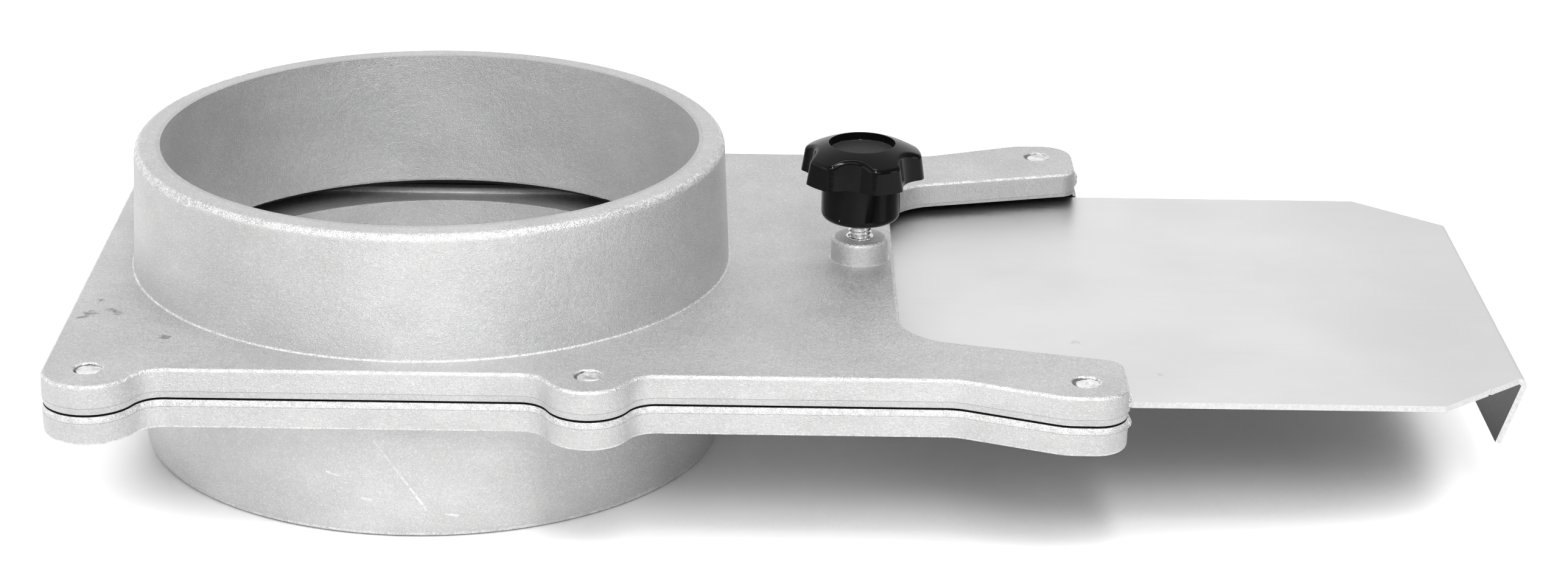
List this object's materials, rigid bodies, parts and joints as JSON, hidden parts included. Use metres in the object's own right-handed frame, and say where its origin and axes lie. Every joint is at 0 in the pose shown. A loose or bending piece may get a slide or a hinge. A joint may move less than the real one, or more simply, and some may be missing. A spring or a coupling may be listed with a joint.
{
  "type": "blast gate",
  "caption": "Slide gate for a round duct: two cast plates with collars, a sheet blade with a bent pull lip, and a star knob that locks it.",
  "frame": {"origin": "on the duct's axis, in the joint between the two castings", "axes": "+Z along the duct's axis out of the collar on the lock screw's side, +X towards the blade's pull lip"},
  "size_m": [0.354, 0.1866, 0.0776],
  "materials": {
    "cast_aluminium": "matt as cast",
    "sheet": "smooth mill finish",
    "screw_steel": "bright zinc plated",
    "black_plastic": "gloss black",
    "rivet_aluminium": "bright cut end"
  },
  "bodies": {
    "housing": {"upper_casting": "cast_aluminium", "lower_casting": "cast_aluminium", "rivet_front_left": "rivet_aluminium", "rivet_front_middle": "rivet_aluminium", "rivet_front_arm": "rivet_aluminium", "rivet_back_left": "rivet_aluminium", "rivet_back_middle": "rivet_aluminium", "rivet_back_arm": "rivet_aluminium"},
    "slide_blade": {"blade": "sheet"},
    "screw": {"lock_screw": "screw_steel"},
    "knob": {"star_knob": "black_plastic"}
  },
  "joints": [
    {"name": "blade_slide", "type": "slide", "parent": "housing", "child": "slide_blade", "axis": [-1, 0, 0], "range_m": [0, 0.1385]},
    {"name": "screw_rise", "type": "slide", "parent": "housing", "child": "screw", "axis": [0, 0, 1], "range_m": [-0.00026, 0.00301]},
    {"name": "knob_turn", "type": "hinge", "parent": "screw", "child": "knob", "pos_m": [0.1086, 0, 0.0184], "axis": [0, 0, 1], "range_deg": [-90, 1080]}
  ],
  "couplings": [
    {"joint": "screw_rise", "follows": "knob_turn", "m_per_rad": 0.00015915}
  ]
}
